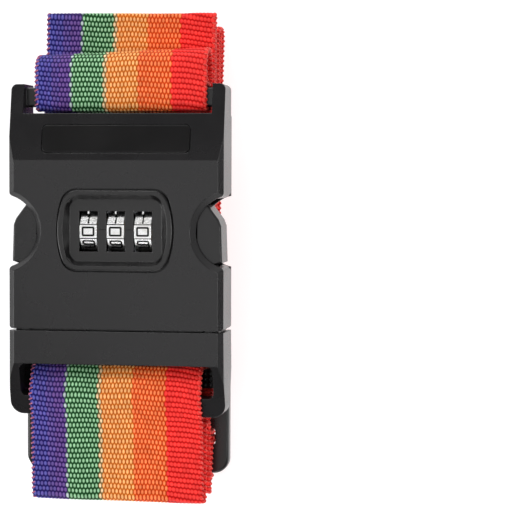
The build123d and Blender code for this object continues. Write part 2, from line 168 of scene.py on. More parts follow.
def plastic(name, colour, rough, grain=1.0, specular=0.5):
    """Moulded plastic: fine spark-eroded grain, slow sheen changes, rubbed edges."""
    g = Graph(name)
    at = g.place()
    clouds = g.noise(at, 90.0, 4.0)
    grain_noise = g.noise(at, 5200.0, 2.0, 0.6)
    scuffs = g.noise(g.place((1.0, 7.0, 1.0), (0, 0, 0.35)), 420.0, 5.0, 0.65)
    tone = g.span(clouds, 0.3, 0.7)
    darker = tuple(0.93 * c for c in colour)
    lighter = tuple(1.07 * c + 0.0004 for c in colour)
    base = g.mix(tone, (*darker, 1), (*lighter, 1))
    rubbed = g.span(scuffs, 0.62, 0.8, 0.0, 0.2)
    base = g.mix(rubbed, base, (*(1.5 * c + 0.004 for c in colour), 1))
    cloudy = g.span(clouds, 0.25, 0.75, rough - 0.02, rough + 0.02)
    roughness = g.math("ADD", cloudy, g.math("MULTIPLY", rubbed, 0.12))
    normal = g.bump(grain_noise, 0.00002 * grain, 0.35, g.rounded(0.00028))
    return g.set(Base_Color=base, Roughness=roughness, Normal=normal, Specular_IOR_Level=specular)


def metal(name, colour, rough, stretch, stain=None):
    """Plated or drawn metal with fine lines along one axis and faint stains."""
    g = Graph(name)
    lines = g.noise(g.place(stretch), 1800.0, 3.0, 0.6)
    stains = g.noise(g.place(), 320.0, 4.0)
    dull = stain or tuple(0.8 * c for c in colour)
    base = g.mix(g.span(stains, 0.45, 0.75, 0.0, 0.6), (*colour, 1), (*dull, 1))
    roughness = g.span(lines, 0.3, 0.7, rough * 0.75, rough * 1.35)
    normal = g.bump(lines, 0.000012, 0.3, g.rounded(0.00012))
    return g.set(Base_Color=base, Roughness=roughness, Metallic=1.0, Normal=normal)


# ---------------------------------------------------------------- webbing weave

yarn_pitch = 0.5225
row_pitch = 1.42
weave_amplitude = 0.085
half_strap = 24.3
strap_thickness = 1.15
yarn_reach = 0.68
blue_reach = 0.78
rib_reach = 1.0
row_groove = 0.3
rib_groove = 0.45

# Where the yarns change across the strap, as shares of its width: each change starts and ends.
blue_end = (0.195, 0.215)
green_end = (0.40, 0.42)
red_start = (0.79, 0.81)

# Stripe edges across the strap, from its left edge, with three yarn colours each: a painted shade for the
# holes between yarns, the plain yarn colour, and a painted highlight for the yarns' crowns.
stripes = [
    (0.0, (0.005, 0.004, 0.058), (0.019, 0.016, 0.195), (0.118, 0.112, 0.430)),
    (0.055, (0.006, 0.004, 0.055), (0.029, 0.016, 0.182), (0.134, 0.104, 0.395)),
    (0.078, (0.005, 0.004, 0.058), (0.023, 0.018, 0.195), (0.126, 0.112, 0.420)),
    (0.100, (0.009, 0.003, 0.052), (0.041, 0.018, 0.170), (0.160, 0.100, 0.355)),
    (0.122, (0.007, 0.003, 0.055), (0.032, 0.018, 0.178), (0.150, 0.104, 0.375)),
    (0.144, (0.011, 0.002, 0.050), (0.048, 0.018, 0.157), (0.180, 0.092, 0.330)),
    (0.2060, (0.018, 0.026, 0.045), (0.130, 0.175, 0.185), (0.560, 0.640, 0.650)),
    (0.2170, (0.001, 0.022, 0.002), (0.024, 0.135, 0.038), (0.350, 0.640, 0.370)),
    (0.4020, (0.050, 0.040, 0.004), (0.380, 0.240, 0.090), (1.000, 0.740, 0.440)),
    (0.4130, (0.190, 0.026, 0.001), (0.800, 0.185, 0.013), (1.000, 0.520, 0.200)),
    (0.5990, (0.270, 0.012, 0.001), (0.830, 0.076, 0.005), (1.000, 0.275, 0.095)),
    (0.7990, (0.310, 0.001, 0.001), (0.770, 0.006, 0.005), (1.000, 0.052, 0.044)),
]


def weave_height(across, along):
    """Height of the weave, from about -0.3 in a hole to 2 on a yarn's crown."""
    column = across / yarn_pitch
    nearest = np.round(column)
    away = np.abs(column - nearest)
    wave = np.cos(math.pi * (along / row_pitch + nearest))
    reach = reach_at(across)
    over = wave + 1 - (away / reach) ** 2
    beside = -wave + 1 - ((1 - away) / reach) ** 2
    groove = row_groove + rib_groove * ribbed_at(across)
    return np.maximum(over, beside) - groove * (1 - np.abs(wave)) ** 2


def weft_bow(across, along):
    """The rows aren't quite straight: they bow and slant a little as the strap goes."""
    share = across / half_strap
    bow = 1.1 * share**3 + 0.4 * share**2
    slant = 0.35 * share * np.sin(along / 16.0)
    unevenness = 0.12 * np.sin(across / 2.3 + along / 9.0)
    return bow + slant + unevenness


def rising(across, change):
    """0 before a change across the strap, 1 after it."""
    share = (across + half_strap) / (2 * half_strap)
    return np.clip((share - change[0]) / (change[1] - change[0]), 0, 1)


def ribbed_at(across):
    """1 where the rows read as ribs (blue, green and red stripes), 0 in yellow and orange."""
    return 1 - rising(across, green_end) + rising(across, red_start)


def reach_at(across):
    """Yarns in the blue and red stripes are fuller, and close up into ribs."""
    red = rising(across, red_start)
    blue = 1 - rising(across, blue_end)
    return yarn_reach + (rib_reach - yarn_reach) * red + (blue_reach - yarn_reach) * blue


def webbing_material():
    """The same weave as weave_height, as nodes, with a colour for every yarn, darkened in the holes as
    painted shade and lightened on the crowns as painted highlight.
    """
    g = Graph("webbing_fabric")
    uv = g.tree.nodes.new("ShaderNodeUVMap")
    uv.uv_map = "weave"
    parts = g.tree.nodes.new("ShaderNodeSeparateXYZ")
    g.link(uv.outputs[0], parts.inputs[0])
    across = parts.outputs[0]
    along = parts.outputs[1]
    share = g.math("DIVIDE", g.math("ADD", across, half_strap), 2 * half_strap)
    red = g.span(share, *red_start, 0.0, rib_reach - yarn_reach, smooth=False)
    blue = g.span(share, *blue_end, blue_reach - yarn_reach, 0.0, smooth=False)
    reach = g.math("ADD", g.math("ADD", red, blue), yarn_reach)
    column = g.math("DIVIDE", across, yarn_pitch)
    nearest = g.math("ROUND", column)
    offset = g.math("SUBTRACT", column, nearest)
    away = g.math("ABSOLUTE", offset)
    row = g.math("DIVIDE", along, row_pitch)
    wave = g.math("COSINE", g.math("MULTIPLY", g.math("ADD", row, nearest), math.pi))
    near_dip = g.math("POWER", g.math("DIVIDE", away, reach), 2.0)
    far_dip = g.math("POWER", g.math("DIVIDE", g.math("SUBTRACT", 1.0, away), reach), 2.0)
    over = g.math("SUBTRACT", g.math("ADD", wave, 1.0), near_dip)
    beside = g.math("SUBTRACT", g.math("SUBTRACT", 1.0, wave), far_dip)
    between = g.math("SUBTRACT", 1.0, g.math("ABSOLUTE", wave))
    ribbed = g.math(
        "ADD",
        g.span(share, *green_end, rib_groove, 0.0, smooth=False),
        g.span(share, *red_start, 0.0, rib_groove, smooth=False),
    )
    groove = g.math("MULTIPLY", g.math("POWER", between, 2.0), g.math("ADD", ribbed, row_groove))
    height = g.math("SUBTRACT", g.math("MAXIMUM", over, beside), groove)
    # The yarn on top gives the colour, so a stripe ends on a whole yarn.
    from_side = g.math("MULTIPLY", g.math("GREATER_THAN", beside, over), g.math("SIGN", offset))
    yarn = g.math("MULTIPLY", g.math("ADD", nearest, from_side), yarn_pitch)
    yarn_share = g.math("DIVIDE", g.math("ADD", yarn, half_strap), 2 * half_strap)
    painted_hole_shade, plain, painted_crown_highlight = (
        g.ramp(yarn_share, [(s[0], s[level]) for s in stripes], "CONSTANT") for level in (1, 2, 3)
    )
    # Painted shade and highlight: the yarn colour darkens towards its shade colour in the holes and turns
    # pale on the crowns.
    colour = g.mix(g.span(height, -0.1, 0.85), painted_hole_shade, plain)
    colour = g.mix(g.span(height, 0.8, 1.6), colour, painted_crown_highlight)
    # Each crossing differs a little, and the filaments run along the strap.
    cell = g.tree.nodes.new("ShaderNodeCombineXYZ")
    g.link(g.math("ADD", nearest, from_side), cell.inputs[0])
    g.link(g.math("ROUND", row), cell.inputs[1])
    speckle = g.tree.nodes.new("ShaderNodeTexWhiteNoise")
    g.link(cell.outputs[0], speckle.inputs["Vector"])
    shade = g.span(speckle.outputs["Value"], 0.0, 1.0, 0.90, 1.10, smooth=False)
    fibre_place = g.tree.nodes.new("ShaderNodeMapping")
    fibre_place.inputs["Scale"].default_value = (1.0, 0.16, 1.0)
    g.link(uv.outputs[0], fibre_place.inputs["Vector"])
    fibres = g.noise(fibre_place.outputs[0], 14.0, 3.0, 0.6)
    wide = g.noise(uv.outputs[0], 0.12, 2.0)
    shade = g.math("MULTIPLY", shade, g.span(fibres, 0.25, 0.75, 0.9, 1.1))
    shade = g.math("MULTIPLY", shade, g.span(wide, 0.3, 0.7, 0.95, 1.05))
    tint = g.tree.nodes.new("ShaderNodeCombineColor")
    for socket in tint.inputs[:3]:
        g.link(shade, socket)
    colour = g.mix(1.0, colour, tint.outputs[0], "MULTIPLY")
    relief = g.math("ADD", height, g.math("MULTIPLY", fibres, 0.25))
    normal = g.bump(relief, 0.00007, 0.9)
    roughness = g.span(fibres, 0.2, 0.8, 0.42, 0.62)
    return g.set(
        Base_Color=colour,
        Roughness=roughness,
        Normal=normal,
        Specular_IOR_Level=0.12,
        Sheen_Weight=0.02,
        Sheen_Roughness=0.4,
    )


# ---------------------------------------------------------------- the strap's line

# Corners of the whole strap's centre line (Y, Z) with their bend radii, from the tail sewn
# round the female half's bar to the tail sewn round the adjuster's middle bar.
tight_bend = 0.59
strap_corners = [
    (50.4, 24.05, 0),
    (47.95, 24.05, 0.9),
    (47.8, 19.6, 1.9),
    (40.75, 19.6, 1.9),
    (40.75, 25.7, 1.9),
    (56.6, 25.35, 4.9),
    (56.6, 15.3, 4.9),
    (-26.4, 15.3, 0.7),
    (-26.4, 13.87, 0.7),
    (67.9, 13.87, 0.6),
    (67.9, 12.65, 0.6),
    (-26.1, 12.65, tight_bend),
    (-26.1, 11.45, tight_bend),
    (64.3, 11.45, tight_bend),
    (64.3, 10.25, tight_bend),
    (-26.3, 10.25, tight_bend),
    (-26.3, 9.05, tight_bend),
    (64.6, 9.05, 3.0),
    (64.6, 0.6, 3.0),
    (-65.4, 0.6, tight_bend),
    (-65.4, 1.8, tight_bend),
    (63.3, 1.8, tight_bend),
    (63.3, 3.0, tight_bend),
    (-65.0, 3.0, tight_bend),
    (-65.0, 4.2, tight_bend),
    (63.0, 4.2, tight_bend),
    (63.0, 5.4, tight_bend),
    (-65.3, 5.4, tight_bend),
    (-65.3, 6.6, tight_bend),
    (63.4, 6.6, tight_bend),
    (63.4, 7.8, tight_bend),
    (-65.4, 7.8, 1.5),
    (-65.4, 10.9, 1.5),
    (-51.6, 10.9, 1.5),
    (-51.6, 16.4, 1.5),
    (-66.4, 16.4, 1.85),
    (-66.4, 20.2, 1.85),
    (-46.4, 20.2, 1.6),
    (-46.4, 23.6, 1.6),
    (-68.2, 23.6, 1.6),
    (-68.2, 26.9, 1.6),
    (-45.6, 27.9, 8.0),
    (-38.9, 29.35, 4.0),
    (-31.1, 26.4, 2.5),
    (-31.1, 16.2, 1.0),
    (-28.95, 16.2, 1.0),
    (-28.95, 10.75, 1.5),
    (-38.9, 10.75, 1.5),
    (-42.1, 16.15, 1.5),
    (-49.7, 16.15, 1.5),
    (-49.7, 9.4, 1.5),
    (-36.0, 9.4, 0),
]

# How far the strap lies to the side, and how much its fold leans, at some of its corners.
strap_lie = {
    0: (0.3, 0.0),
    4: (0.35, 0.0),
    5: (0.3, 0.040),
    6: (0.3, 0.040),
    7: (0.1, 0.0),
    9: (0.75, -0.008),
    10: (0.7, -0.008),
    11: (-0.1, -0.01),
    13: (0.45, 0.012),
    15: (0.3, 0.0),
    17: (0.95, -0.004),
    18: (1.1, -0.004),
    19: (-2.0, 0.008),
    20: (-2.0, 0.008),
    22: (0.4, 0.0),
    23: (-2.3, -0.008),
    24: (-2.3, -0.008),
    26: (-0.3, 0.01),
    27: (-1.9, 0.0),
    28: (-1.9, 0.0),
    30: (0.0, -0.01),
    31: (-2.4, 0.0),
    32: (-2.4, 0.0),
    33: (0.9, 0.0),
    34: (0.9, 0.0),
    35: (0.2, -0.014),
    36: (0.7, -0.014),
    37: (0.7, 0.0),
    38: (0.3, 0.0),
    39: (0.3, -0.008),
    40: (-0.1, -0.008),
    41: (-0.35, 0.0),
    42: (-0.6, 0.0),
    43: (-0.6, 0.0),
    46: (0.0, 0.0),
    51: (0.0, 0.0),
}


line_step = 0.05


def bent_line(corners):
    """Straight runs joined by arcs: positions, headings, arc lengths and corner places."""
    points = [np.array(c[:2]) for c in corners]
    track = [points[0]]
    heading = []
    corner_at = [0.0]
    travelled = 0.0

    def run_to(target):
        nonlocal travelled
        start = track[-1]
        length = float(np.linalg.norm(target - start))
        if length < 1e-9:
            return
        direction = (target - start) / length
        for part in np.linspace(0, 1, max(2, int(length / line_step)))[1:]:
            track.append(start + (target - start) * part)
            heading.append(math.atan2(direction[1], direction[0]))
        travelled += length

    for here, corner in enumerate(corners[1:-1], start=1):
        before = points[here] - points[here - 1]
        after = points[here + 1] - points[here]
        before = before / np.linalg.norm(before)
        after = after / np.linalg.norm(after)
        turn = math.atan2(before[0] * after[1] - before[1] * after[0], float(before @ after))
        setback = corner[2] * math.tan(abs(turn) / 2)
        run_to(points[here] - before * setback)
        side = math.copysign(1.0, turn)
        centre = track[-1] + side * corner[2] * np.array([-before[1], before[0]])
        start_angle = math.atan2(before[1], before[0])
        arc_steps = max(3, int(abs(turn) * corner[2] / line_step))
        corner_at.append(travelled + abs(turn) * corner[2] / 2)
        for part in np.linspace(0, 1, arc_steps)[1:]:
            angle = start_angle + turn * part
            normal = np.array([-math.sin(angle), math.cos(angle)])
            track.append(centre - side * corner[2] * normal)
            heading.append(angle)
        travelled += abs(turn) * corner[2]
    run_to(points[-1])
    corner_at.append(travelled)
    track = np.array(track)
    heading = np.unwrap(np.array([heading[0]] + heading))
    lengths = np.concatenate([[0], np.cumsum(np.linalg.norm(np.diff(track, axis=0), axis=1))])
    return track, heading, lengths, corner_at


track, heading, lengths, corner_at = bent_line(strap_corners)
strap_length = float(lengths[-1])
lie_at = np.array([corner_at[c] for c in strap_lie])
lie_shift = np.array([v[0] for v in strap_lie.values()])
lie_lean = np.array([v[1] for v in strap_lie.values()])


def place(across, along, lift):
    """Points in metres of the strap, from distance across, arc length and height off its middle."""
    across, along, lift = np.broadcast_arrays(
        *(np.asarray(v, float) for v in (across, along, lift))
    )
    y = np.interp(along, lengths, track[:, 0])
    z = np.interp(along, lengths, track[:, 1])
    angle = np.interp(along, lengths, heading)
    shift = np.interp(along, lie_at, lie_shift)
    lean = np.interp(along, lie_at, lie_lean)
    ripple = 0.05 * np.sin(along / 7.3 + across / 9.0) + 0.04 * np.sin(along / 17.0 - across / 5.0)
    reach = lift + ripple
    x = across + shift + 0.12 * np.sin(along / 11.0)
    y = y - np.sin(angle) * reach + lean * across
    z = z + np.cos(angle) * reach
    return np.stack([x, y, np.maximum(z, 0.02)], axis=-1) * MM


def arc_of(corner, y):
    """Arc length where the strap passes height Y = y on its run after a corner."""
    start = corner_at[corner]
    window = (lengths >= start) & (lengths <= corner_at[corner + 1])
    places = np.flatnonzero(window)
    best = places[np.argmin(np.abs(track[places, 0] - y))]
    return float(lengths[best])


fine_step = 0.22
bend_step = 0.3
coarse_step = 0.44
least_step = 0.03


def stations(start, end, fine_spans):
    """Arc lengths for a strap piece, close together in its fine spans and at its bends."""
    values = [start]
    while values[-1] < end - 1e-6:
        here = values[-1]
        turning = abs(np.interp(here + 0.15, lengths, heading) - np.interp(here, lengths, heading)) > 0.02
        near = any(a <= here <= b for a, b in fine_spans)
        values.append(min(end, here + (fine_step if near else bend_step if turning else coarse_step)))
    if values[-1] - values[-2] < least_step:
        values.pop(-2)
    return np.array(values)


def edge_profile(across):
    """Half thickness across the strap, thinner at the selvages."""
    inboard = half_strap - np.abs(across)
    return np.interp(inboard, [0, 0.3, 1.2], [0.2, 0.34, strap_thickness / 2 - weave_amplitude / 2])


webbing_fabric = webbing_material()


def mesh_object(name, vertices, faces, material):
    """A smooth-shaded object from vertices in metres."""
    mesh = bpy.data.meshes.new(name)
    mesh.from_pydata(vertices, [], faces)
    mesh.update()
    mesh.materials.append(material)
    mesh.polygons.foreach_set("use_smooth", [True] * len(mesh.polygons))
    obj = bpy.data.objects.new(name, mesh)
    scene.collection.objects.link(obj)
    return obj


fine_columns = 236


def columns(fine):
    """Places across the strap: every part of a yarn, or close only near the selvages."""
    if fine:
        return np.linspace(-half_strap, half_strap, fine_columns)
    edge = [0.0, 0.25, 0.6, 1.0, 1.6, 2.6, 5.0, 9.0, 15.0]
    left = [-half_strap + e for e in edge]
    return np.array(left + [0.0] + [-v for v in reversed(left)])


def strap_piece(name, start, end, fine_spans, fine_side):
    """A closed length of webbing between two arc lengths, woven in relief where it is fine."""
    rows = stations(start, end, fine_spans)
    front_columns = columns(fine_side)
    back_columns = columns(False)
    share = np.zeros_like(rows)
    for a, b in fine_spans:
        share = np.maximum(share, np.clip(np.minimum(rows - a + 0.6, b - rows + 0.6), 0, 1))
    vertices = []
    uvs = []

    def sheet_side(side, places):
        across, along = np.meshgrid(places, rows)
        bowed = along + weft_bow(across, along)
        relief = weave_amplitude * (weave_height(across, bowed) - 1)
        if len(places) < fine_columns:
            relief = relief * 0
        edge = np.clip((half_strap - np.abs(across)) / 0.5, 0, 1)
        scallop = 0.12 * np.cos(2 * math.pi * along / row_pitch) * (1 - edge) * np.sign(across)
        lift = side * (edge_profile(across) + relief * share[:, None] * edge)
        vertices.append(place(across + scallop, along, lift).reshape(-1, 3))
        uvs.append(np.stack([across, bowed], axis=-1).reshape(-1, 2))

    sheet_side(1, front_columns)
    sheet_side(-1, back_columns)
    count = len(rows)
    wide, narrow = len(front_columns), len(back_columns)
    base = count * wide
    faces = []
    for r in range(count - 1):
        a = r * wide
        b = a + wide
        faces += [(a + c, a + c + 1, b + c + 1, b + c) for c in range(wide - 1)]
        p = base + r * narrow
        q = p + narrow
        faces += [(p + c, q + c, q + c + 1, p + c + 1) for c in range(narrow - 1)]
        faces.append((a, b, q, p))
        faces.append((a + wide - 1, p + narrow - 1, q + narrow - 1, b + wide - 1))
    last_top = (count - 1) * wide
    last_low = base + (count - 1) * narrow
    faces.append(tuple(range(wide - 1, -1, -1)) + tuple(base + c for c in range(narrow)))
    faces.append(
        tuple(last_top + c for c in range(wide)) + tuple(last_low + c for c in reversed(range(narrow)))
    )
    obj = mesh_object(name, np.concatenate(vertices).tolist(), faces, webbing_fabric)
    layer = obj.data.uv_layers.new(name="weave")
    flat_uv = np.concatenate(uvs)
    corner_vertex = np.empty(len(obj.data.loops), dtype=np.int64)
    obj.data.loops.foreach_get("vertex_index", corner_vertex)
    layer.data.foreach_set("uv", flat_uv[corner_vertex].ravel())
    return obj


def thread_material(name, inner, painted_highlight):
    g = Graph(name)
    at = g.place()
    twist = g.noise(at, 2600.0, 3.0, 0.6)
    # The thread's colour varies with a fine noise between its own colour and a lighter one, which is a
    # painted highlight.
    colour = g.mix(g.span(twist, 0.3, 0.7), (*inner, 1), (*painted_highlight, 1))
    normal = g.bump(twist, 0.00003, 0.6)
    return g.set(
        Base_Color=colour, Roughness=0.5, Normal=normal, Sheen_Weight=0.15, Specular_IOR_Level=0.35
    )


# The second colour of each thread is a painted highlight.
red_thread = thread_material("selvage_red", (0.60, 0.010, 0.008), (1.0, 0.11, 0.08))
rose_thread = thread_material("selvage_rose", (0.30, 0.04, 0.09), (0.62, 0.20, 0.30))


def tube(centres, radius, sides):
    """Vertices and faces of a closed thread that follows centres, given in metres."""
    centres = np.asarray(centres)
    tangents = np.gradient(centres, axis=0)
    tangents /= np.linalg.norm(tangents, axis=1)[:, None]
    first = np.cross(tangents, [0.31, 0.17, 0.93])
    first /= np.linalg.norm(first, axis=1)[:, None]
    second = np.cross(tangents, first)
    turn = np.arange(sides) * 2 * math.pi / sides
    ring = centres[:, None, :] + radius * MM * (
        first[:, None, :] * np.cos(turn)[None, :, None]
        + second[:, None, :] * np.sin(turn)[None, :, None]
    )
    count = len(centres)
    faces = [
        (i * sides + k, i * sides + (k + 1) % sides, (i + 1) * sides + (k + 1) % sides, (i + 1) * sides + k)
        for i in range(count - 1)
        for k in range(sides)
    ]
    faces.append(tuple(range(sides - 1, -1, -1)))
    faces.append(tuple((count - 1) * sides + k for k in range(sides)))
    return ring.reshape(-1, 3), faces


selvage_radius = 0.23
loop_inset = 0.42
loop_reach = 0.55
loop_lift = 0.42


def selvage(name, start, end, side, detail, sides):
    """The weft loops that bind one edge, a thread wound round the strap's thin edge."""
    turns = (end - start) / row_pitch
    angle = np.linspace(0, 2 * math.pi * turns, int(turns * detail) + 2)
    along = start + (end - start) * angle / angle[-1]
    phase = angle + 2 * math.pi * start / row_pitch
    across = side * (half_strap - loop_inset + loop_reach * np.cos(phase))
    lift = loop_lift * np.sin(phase)
    ring, faces = tube(place(across, along, lift), selvage_radius, sides)
    material = red_thread if side > 0 else rose_thread
    obj = mesh_object(name, ring.tolist(), faces, material)
    return obj


# Arc lengths where the strap is cut into pieces, all of them out of sight.
loop_end = arc_of(6, 44.0)
crest_start = arc_of(8, 44.0)
crest_end = arc_of(10, 44.0)
stack_end = arc_of(18, 50.0)
pack_end = arc_of(32, -64.2)
adjuster_run_end = arc_of(34, -64.2)
front_start = arc_of(38, -50.0)
front_end = arc_of(46, -30.3)

strap_cuts = [
    ("strap_loop", 0.0, loop_end, [(corner_at[4] - 1, corner_at[6] + 1)], True, "housing"),
    ("strap_under_run", loop_end, crest_start, [], False, "housing"),
    ("strap_crest", crest_start, crest_end, [(arc_of(8, 54.5), corner_at[10] + 3)], True, "housing"),
    ("strap_stack", crest_end, stack_end, [], False, "housing"),
    ("strap_pack", stack_end, pack_end, [], False, None),
    ("strap_adjuster_turn", pack_end, adjuster_run_end, [], False, None),
    ("strap_front_folds", adjuster_run_end, front_start, [], False, "plug"),
    ("strap_front_run", front_start, front_end, [(corner_at[39] - 3, corner_at[43] + 4)], True, "plug"),
    ("strap_adjuster_end", front_end, strap_length, [], False, None),
]

replaced = {
    "strap_loop": ["webbing_female_end"],
    "strap_pack": ["webbing_pack"],
    "strap_front_run": ["webbing_front_run"],
    "strap_adjuster_turn": ["webbing_adjuster_run"],
    "strap_adjuster_end": ["webbing_adjuster_end"],
}


def carry(obj, body):
    """Make a strap piece or its edge threads follow their body, or stay fixed where they are when they have
    none.
    """
    if body is not None:
        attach(obj, body)
        return
    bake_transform(obj)


for name, start, end, fine_spans, fine_side, body in strap_cuts:
    piece = strap_piece(name, start, end, fine_spans, fine_side)
    carry(piece, body)
    if name in replaced:
        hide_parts(*replaced[name])
    detail = 12 if fine_side else 7
    for side, word in ((-1, "left"), (1, "right")):
        edge = selvage(f"{name}_edge_{word}", start, end, side, detail, 5 if fine_side else 4)
        carry(edge, body)

# ---------------------------------------------------------------- materials for the CAD nodes

housing_plastic = plastic("housing_plastic", (0.0080, 0.0074, 0.0082), 0.27)
label_plastic = plastic("label_plastic", (0.0070, 0.0066, 0.0068), 0.30, 0.6, 0.26)
bezel_plastic = plastic("bezel_plastic", (0.0085, 0.0080, 0.0083), 0.26, 0.7)
button_plastic = plastic("button_plastic", (0.0085, 0.0080, 0.0086), 0.28)
adjuster_plastic = plastic("adjuster_plastic", (0.0080, 0.0076, 0.0082), 0.28)
wheel_chrome = metal("wheel_chrome", (0.88, 0.88, 0.88), 0.26, (1, 8, 8), (0.72, 0.70, 0.66))
sleeve_brass = metal("sleeve_brass", (0.72, 0.50, 0.22), 0.28, (1, 8, 8), (0.50, 0.33, 0.14))
shaft_steel = metal("shaft_steel", (0.58, 0.58, 0.60), 0.24, (8, 1, 1))
spring_steel = metal("spring_steel", (0.50, 0.51, 0.54), 0.3, (1, 1, 8))
comb_steel = metal("comb_steel", (0.52, 0.53, 0.55), 0.36, (8, 1, 1))
screw_steel = metal("screw_steel", (0.30, 0.30, 0.31), 0.34, (4, 4, 1))

node_materials = {
    "front_cover": housing_plastic,
    "rear_cover": housing_plastic,
    "cover_screws": screw_steel,
    "label_plate": label_plastic,
    "dial_bezel": bezel_plastic,
    "dial_shaft": shaft_steel,
    "shaft_spring": spring_steel,
    "detent_spring": spring_steel,
    "reset_button": button_plastic,
    "reset_spring": spring_steel,
    "plug_base": housing_plastic,
    "comb_plate": comb_steel,
    "latch_arm_left": button_plastic,
    "latch_arm_right": button_plastic,
    "adjuster": adjuster_plastic,
    **{f"number_wheel_{n}": wheel_chrome for n in (1, 2, 3)},
    **{f"cam_sleeve_{n}": sleeve_brass for n in (1, 2, 3)},
}

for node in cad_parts:
    if node in node_materials:
        node_object = bpy.data.objects[node]
        for material_slot in node_object.material_slots:
            material_slot.material = node_materials[node]

# ---------------------------------------------------------------- digits, and marks of painted shade and highlight

dial_low, dial_high = (np.array(v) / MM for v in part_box("number_wheel_2"))
dial_axis = (dial_low + dial_high) / 2
facet_count = 10
digit_stroke = 0.52
corner_line_width = 0.26
dial_radius = (dial_high[2] - dial_low[2]) / 2
facet_length = 2 * dial_radius * math.tan(math.pi / facet_count)
digit_size = (3.1, 0.56 * facet_length)
digit_one_size = (1.2, 0.7 * facet_length)
corner_line_inset = 0.15
stroke_rise = 0.035
stroke_sink = 0.03

# Strokes of each digit in a box 1 wide and 1 high, as lists of points; closed ones end on their start.
digit_strokes = {
    0: [[(0.05, 0), (0.95, 0), (1, 0.08), (1, 0.92), (0.95, 1), (0.05, 1), (0, 0.92), (0, 0.08), (0.05, 0)]],
    1: [[(0.3, 0.8), (0.5, 1), (0.5, 0)]],
    2: [
        [
            (0, 0.85), (0.1, 1), (0.9, 1), (1, 0.88), (1, 0.6),
            (0.9, 0.5), (0.1, 0.5), (0, 0.4), (0, 0), (1, 0),
        ],
    ],
    3: [
        [(0, 1), (0.9, 1), (1, 0.88), (1, 0.6), (0.9, 0.5), (0.3, 0.5)],
        [(0.9, 0.5), (1, 0.4), (1, 0.1), (0.9, 0), (0, 0)],
    ],
    4: [[(0.75, 0), (0.75, 1), (0, 0.35), (1, 0.35)]],
    5: [[(1, 1), (0, 1), (0, 0.55), (0.9, 0.55), (1, 0.45), (1, 0.1), (0.9, 0), (0, 0)]],
    6: [
        [
            (0.9, 1), (0.1, 1), (0, 0.88), (0, 0.12), (0.1, 0),
            (0.9, 0), (1, 0.1), (1, 0.42), (0.9, 0.52), (0, 0.52),
        ],
    ],
    7: [[(0, 1), (1, 1), (0.35, 0)]],
    8: [
        [(0.1, 0.52), (0.9, 0.52), (1, 0.62), (1, 0.9), (0.9, 1), (0.1, 1), (0, 0.9), (0, 0.62), (0.1, 0.52)],
        [(0.1, 0.52), (0, 0.42), (0, 0.1), (0.1, 0), (0.9, 0), (1, 0.1), (1, 0.42), (0.9, 0.52)],
    ],
    9: [
        [
            (0.1, 0), (0.9, 0), (1, 0.12), (1, 0.88), (0.9, 1),
            (0.1, 1), (0, 0.9), (0, 0.58), (0.1, 0.48), (1, 0.48),
        ],
    ],
}


def ink_and_shade_material():
    g = Graph("ink_and_painted_shade")
    patch = g.noise(g.place(), 1500.0, 3.0)
    # Near-black: ink on the digits, and painted shade on the facet corners and the index lines.
    colour = g.mix(g.span(patch, 0.35, 0.7), (0.003, 0.003, 0.003, 1), (0.009, 0.008, 0.008, 1))
    roughness = g.span(patch, 0.3, 0.7, 0.38, 0.6)
    normal = g.bump(patch, 0.00001, 0.4)
    return g.set(Base_Color=colour, Roughness=roughness, Normal=normal, Specular_IOR_Level=0.12)


ink_and_painted_shade = ink_and_shade_material()


def stroke_mesh(bm, points, width, to_point):
    """A flat stroke with mitred corners, raised slightly, along points on a facet."""
    points = [np.array(p, float) for p in points]
    closed = np.allclose(points[0], points[-1])
    if closed:
        points = points[:-1]
    count = len(points)
    rings = []
    for i, point in enumerate(points):
        before = points[i - 1] if (closed or i > 0) else None
        after = points[(i + 1) % count] if (closed or i < count - 1) else None
        incoming = None if before is None else (point - before) / np.linalg.norm(point - before)
        outgoing = None if after is None else (after - point) / np.linalg.norm(after - point)
        direction = incoming if outgoing is None else outgoing if incoming is None else incoming + outgoing
        direction = direction / np.linalg.norm(direction)
        normal = np.array([-direction[1], direction[0]])
        reference = incoming if incoming is not None else outgoing
        stretch = 1 / max(0.45, abs(float(normal @ np.array([-reference[1], reference[0]]))))
        shove = 0 if closed else (width / 2 if before is None else -width / 2 if after is None else 0)
        middle = point - direction * shove
        left = middle + normal * width / 2 * stretch
        right = middle - normal * width / 2 * stretch
        rings.append(
            [
                bm.verts.new(to_point(*left, -stroke_sink)),
                bm.verts.new(to_point(*left, stroke_rise)),
                bm.verts.new(to_point(*right, stroke_rise)),
                bm.verts.new(to_point(*right, -stroke_sink)),
            ]
        )
    spans = range(count) if closed else range(count - 1)
    for i in spans:
        one, two = rings[i], rings[(i + 1) % count]
        for k in range(4):
            bm.faces.new((one[k], one[(k + 1) % 4], two[(k + 1) % 4], two[k]))
    if not closed:
        bm.faces.new(rings[0])
        bm.faces.new(list(reversed(rings[-1])))


def bmesh_object(name, bm, material):
    """An object from a bmesh, which is freed."""
    bmesh.ops.recalc_face_normals(bm, faces=bm.faces)
    mesh = bpy.data.meshes.new(name)
    bm.to_mesh(mesh)
    bm.free()
    mesh.materials.append(material)
    obj = bpy.data.objects.new(name, mesh)
    scene.collection.objects.link(obj)
    return obj


def facet_placer(x, digit):
    """Maps facet coordinates (along X, up the facet, off the facet) to metres."""
    angle = 2 * math.pi * digit / facet_count
    out = np.array([0, math.sin(angle), math.cos(angle)])
    up = np.array([0, math.cos(angle), -math.sin(angle)])
    centre = np.array([x, dial_axis[1], dial_axis[2]])

    def to_point(a, b, c):
        return (centre + np.array([a, 0, 0]) + up * b + out * (dial_radius + c)) * MM

    return to_point


